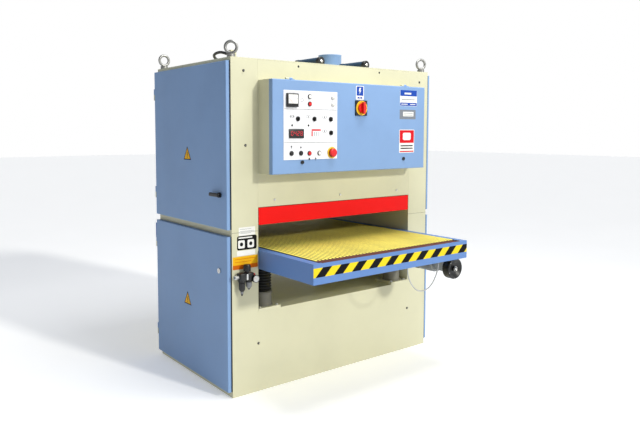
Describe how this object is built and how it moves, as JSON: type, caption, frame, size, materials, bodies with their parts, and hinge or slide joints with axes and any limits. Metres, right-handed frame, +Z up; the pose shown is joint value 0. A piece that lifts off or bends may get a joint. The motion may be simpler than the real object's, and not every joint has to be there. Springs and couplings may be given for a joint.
{
  "type": "drum sander",
  "caption": "Wide-belt drum sander: cabinet with contact drums over a height-adjustable feed table, hinged doors, control lid and red infeed guard.",
  "frame": {"origin": "on the floor under the middle of the cabinet", "axes": "+Z up, +Y along the feed from infeed to outfeed, +X to the right seen from the infeed end"},
  "size_m": [1.8606, 2.075, 2.236],
  "materials": {
    "cream_paint": "smooth satin paint",
    "blue_paint": "satin paint",
    "dark_blue_paint": "satin paint",
    "red_paint": "gloss paint",
    "white_panel": "matt film",
    "machined_steel": "turned and ground",
    "zinc_steel": "zinc plated",
    "cast_iron": "painted casting",
    "sheet_steel": "galvanised sheet",
    "drum_rubber": "ground rubber face",
    "abrasive": "coated abrasive cloth",
    "feed_rubber": "ribbed belt",
    "black_rubber": "matt",
    "black_plastic": "moulded",
    "grey_plastic": "moulded",
    "red_plastic": "moulded",
    "white_plastic": "moulded",
    "cable_black": "matt",
    "cable_grey": "matt"
  },
  "bodies": {
    "cabinet": {"base_frame": "cream_paint", "upper_frame": "cream_paint", "front_cover": "cream_paint", "rear_cover": "cream_paint", "cover_screws": "zinc_steel", "lifting_eyebolts": "machined_steel", "dust_hood": "sheet_steel", "roof_fittings": "dark_blue_paint", "head_beams": "machined_steel", "abrasive_belts": "abrasive", "main_motor": "cast_iron", "v_belts": "black_rubber", "control_box": "cream_paint", "jack_columns": "cast_iron", "jack_drive": "machined_steel", "lift_motor": "cast_iron", "air_unit": "black_plastic", "roof_cable": "cable_black", "bellows": "black_rubber"},
    "table": {"table_frame": "blue_paint", "conveyor_belt": "feed_rubber", "feed_motor": "black_plastic", "table_cord": "cable_grey", "jack_screws": "machined_steel"},
    "control_lid": {"control_door": "blue_paint", "panel_plate": "white_panel", "panel_instruments": "grey_plastic"},
    "drive_roller": {"drive_roller": "machined_steel"},
    "emergency_stop": {"emergency_stop": "red_plastic"},
    "feed_handwheel": {"feed_handwheel": "black_plastic"},
    "feed_start_button": {"feed_start_button": "white_plastic"},
    "feed_stop_button": {"feed_stop_button": "red_plastic"},
    "front_drum": {"front_drum": "drum_rubber"},
    "front_tension_roller": {"front_tension_roller": "machined_steel"},
    "idler_roller": {"idler_roller": "machined_steel"},
    "infeed_pressure_roller": {"infeed_pressure_roller": "drum_rubber"},
    "isolator_handle": {"isolator_handle": "red_plastic"},
    "left_box_lock": {"left_box_lock": "zinc_steel"},
    "left_selector": {"left_selector": "black_plastic"},
    "lower_left_door": {"lower_left_door": "blue_paint"},
    "lower_left_lock": {"lower_left_lock": "zinc_steel"},
    "lower_right_door": {"lower_right_door": "blue_paint"},
    "lower_right_lock": {"lower_right_lock": "zinc_steel"},
    "middle_selector": {"middle_selector": "black_plastic"},
    "mode_selector": {"mode_selector": "black_plastic"},
    "motor_rotor": {"motor_rotor": "machined_steel"},
    "outfeed_pressure_roller": {"outfeed_pressure_roller": "drum_rubber"},
    "rear_drum": {"rear_drum": "drum_rubber"},
    "rear_tension_roller": {"rear_tension_roller": "machined_steel"},
    "right_box_lock": {"right_box_lock": "zinc_steel"},
    "right_selector": {"right_selector": "black_plastic"},
    "safety_guard": {"safety_guard": "red_paint"},
    "start_button": {"start_button": "white_plastic"},
    "stop_button": {"stop_button": "red_plastic"},
    "table_down_button": {"table_down_button": "black_plastic"},
    "table_up_button": {"table_up_button": "black_plastic"},
    "upper_left_door": {"upper_left_door": "blue_paint"},
    "upper_left_handle": {"upper_left_handle": "zinc_steel"},
    "upper_right_door": {"upper_right_door": "blue_paint"},
    "upper_right_handle": {"upper_right_handle": "zinc_steel"}
  },
  "joints": [
    {"name": "upper_left_door_swing", "type": "hinge", "parent": "cabinet", "child": "upper_left_door", "pos_m": [-0.892, 0.513, 1.565], "axis": [0, 0, -1], "range_deg": [0, 110]},
    {"name": "upper_right_door_swing", "type": "hinge", "parent": "cabinet", "child": "upper_right_door", "pos_m": [0.892, 0.513, 1.565], "axis": [0, 0, 1], "range_deg": [0, 110]},
    {"name": "lower_left_door_swing", "type": "hinge", "parent": "cabinet", "child": "lower_left_door", "pos_m": [-0.892, 0.513, 0.5245], "axis": [0, 0, -1], "range_deg": [0, 110]},
    {"name": "lower_right_door_swing", "type": "hinge", "parent": "cabinet", "child": "lower_right_door", "pos_m": [0.892, 0.513, 0.5245], "axis": [0, 0, 1], "range_deg": [0, 110]},
    {"name": "upper_left_handle_turn", "type": "hinge", "parent": "upper_left_door", "child": "upper_left_handle", "pos_m": [-0.9, -0.423, 1.264], "axis": [-1, 0, 0], "range_deg": [0, 90]},
    {"name": "lower_left_lock_turn", "type": "hinge", "parent": "lower_left_door", "child": "lower_left_lock", "pos_m": [-0.9, -0.405, 0.79], "axis": [-1, 0, 0], "range_deg": [0, 90]},
    {"name": "upper_right_handle_turn", "type": "hinge", "parent": "upper_right_door", "child": "upper_right_handle", "pos_m": [0.9, -0.423, 1.264], "axis": [-1, 0, 0], "range_deg": [0, 90]},
    {"name": "lower_right_lock_turn", "type": "hinge", "parent": "lower_right_door", "child": "lower_right_lock", "pos_m": [0.9, -0.405, 0.79], "axis": [-1, 0, 0], "range_deg": [0, 90]},
    {"name": "control_lid_lift", "type": "hinge", "parent": "cabinet", "child": "control_lid", "pos_m": [0, -0.622, 1.977], "axis": [-1, 0, 0], "range_deg": [0, 95]},
    {"name": "guard_swing", "type": "hinge", "parent": "cabinet", "child": "safety_guard", "pos_m": [0, -0.49, 1.166], "axis": [1, 0, 0], "range_deg": [0, 12], "stiffness_Nm_per_rad": 8, "springref_deg": -17.19},
    {"name": "table_lift", "type": "slide", "parent": "cabinet", "child": "table", "axis": [0, 0, 1], "range_m": [0, 0.15], "deforming": ["bellows"]},
    {"name": "drive_roller_spin", "type": "hinge", "parent": "table", "child": "drive_roller", "pos_m": [0, 0.94, 0.8687], "axis": [1, 0, 0], "continuous": true},
    {"name": "idler_roller_spin", "type": "hinge", "parent": "table", "child": "idler_roller", "pos_m": [0, -0.975, 0.8687], "axis": [1, 0, 0], "continuous": true},
    {"name": "feed_wheel_turn", "type": "hinge", "parent": "table", "child": "feed_handwheel", "pos_m": [0.6, -0.992, 0.715], "axis": [0, 1, 0], "range_deg": [-540, 540]},
    {"name": "front_drum_spin", "type": "hinge", "parent": "cabinet", "child": "front_drum", "pos_m": [0, -0.2, 1.165], "axis": [1, 0, 0], "continuous": true},
    {"name": "rear_drum_spin", "type": "hinge", "parent": "cabinet", "child": "rear_drum", "pos_m": [0, 0.2, 1.165], "axis": [1, 0, 0], "continuous": true},
    {"name": "front_tension_spin", "type": "hinge", "parent": "cabinet", "child": "front_tension_roller", "pos_m": [0, -0.2, 1.879], "axis": [1, 0, 0], "continuous": true},
    {"name": "rear_tension_spin", "type": "hinge", "parent": "cabinet", "child": "rear_tension_roller", "pos_m": [0, 0.2, 1.879], "axis": [1, 0, 0], "continuous": true},
    {"name": "motor_spin", "type": "hinge", "parent": "cabinet", "child": "motor_rotor", "pos_m": [0.7, 0, 0.3], "axis": [1, 0, 0], "continuous": true},
    {"name": "infeed_roller_spin", "type": "hinge", "parent": "cabinet", "child": "infeed_pressure_roller", "pos_m": [0, -0.4, 1.108], "axis": [1, 0, 0], "continuous": true},
    {"name": "outfeed_roller_spin", "type": "hinge", "parent": "cabinet", "child": "outfeed_pressure_roller", "pos_m": [0, 0.4, 1.108], "axis": [1, 0, 0], "continuous": true},
    {"name": "start_button_press", "type": "slide", "parent": "control_lid", "child": "start_button", "axis": [0, 1, 0], "range_m": [0, 0.004], "stiffness_N_per_m": 1000, "springref_m": -0.002},
    {"name": "stop_button_press", "type": "slide", "parent": "control_lid", "child": "stop_button", "axis": [0, 1, 0], "range_m": [0, 0.004], "stiffness_N_per_m": 1000, "springref_m": -0.002},
    {"name": "feed_stop_button_press", "type": "slide", "parent": "control_lid", "child": "feed_stop_button", "axis": [0, 1, 0], "range_m": [0, 0.004], "stiffness_N_per_m": 1000, "springref_m": -0.002},
    {"name": "feed_start_button_press", "type": "slide", "parent": "control_lid", "child": "feed_start_button", "axis": [0, 1, 0], "range_m": [0, 0.004], "stiffness_N_per_m": 1000, "springref_m": -0.002},
    {"name": "table_up_button_press", "type": "slide", "parent": "control_lid", "child": "table_up_button", "axis": [0, 1, 0], "range_m": [0, 0.004], "stiffness_N_per_m": 1000, "springref_m": -0.002},
    {"name": "table_down_button_press", "type": "slide", "parent": "control_lid", "child": "table_down_button", "axis": [0, 1, 0], "range_m": [0, 0.004], "stiffness_N_per_m": 1000, "springref_m": -0.002},
    {"name": "emergency_stop_press", "type": "slide", "parent": "control_lid", "child": "emergency_stop", "axis": [0, 1, 0], "range_m": [0, 0.006]},
    {"name": "left_selector_turn", "type": "hinge", "parent": "control_lid", "child": "left_selector", "pos_m": [-0.482, -0.66, 1.731], "axis": [0, 1, 0], "range_deg": [-45, 45]},
    {"name": "middle_selector_turn", "type": "hinge", "parent": "control_lid", "child": "middle_selector", "pos_m": [-0.352, -0.66, 1.731], "axis": [0, 1, 0], "range_deg": [-45, 45]},
    {"name": "right_selector_turn", "type": "hinge", "parent": "control_lid", "child": "right_selector", "pos_m": [-0.218, -0.66, 1.731], "axis": [0, 1, 0], "range_deg": [-45, 45]},
    {"name": "mode_selector_turn", "type": "hinge", "parent": "control_lid", "child": "mode_selector", "pos_m": [-0.215, -0.66, 1.644], "axis": [0, 1, 0], "range_deg": [-45, 45]},
    {"name": "isolator_turn", "type": "hinge", "parent": "control_lid", "child": "isolator_handle", "pos_m": [0.045, -0.66, 1.808], "axis": [0, 1, 0], "range_deg": [0, 90]},
    {"name": "left_box_lock_turn", "type": "hinge", "parent": "control_lid", "child": "left_box_lock", "pos_m": [-0.446, -0.656, 1.461], "axis": [0, 1, 0], "range_deg": [0, 90]},
    {"name": "right_box_lock_turn", "type": "hinge", "parent": "control_lid", "child": "right_box_lock", "pos_m": [0.458, -0.656, 1.461], "axis": [0, 1, 0], "range_deg": [0, 90]}
  ],
  "couplings": [
    {"joint": "idler_roller_spin", "follows": "drive_roller_spin", "ratio": 1},
    {"joint": "rear_drum_spin", "follows": "front_drum_spin", "ratio": 1},
    {"joint": "front_tension_spin", "follows": "front_drum_spin", "ratio": 1.5},
    {"joint": "rear_tension_spin", "follows": "front_drum_spin", "ratio": 1.5},
    {"joint": "motor_spin", "follows": "front_drum_spin", "ratio": 1}
  ]
}
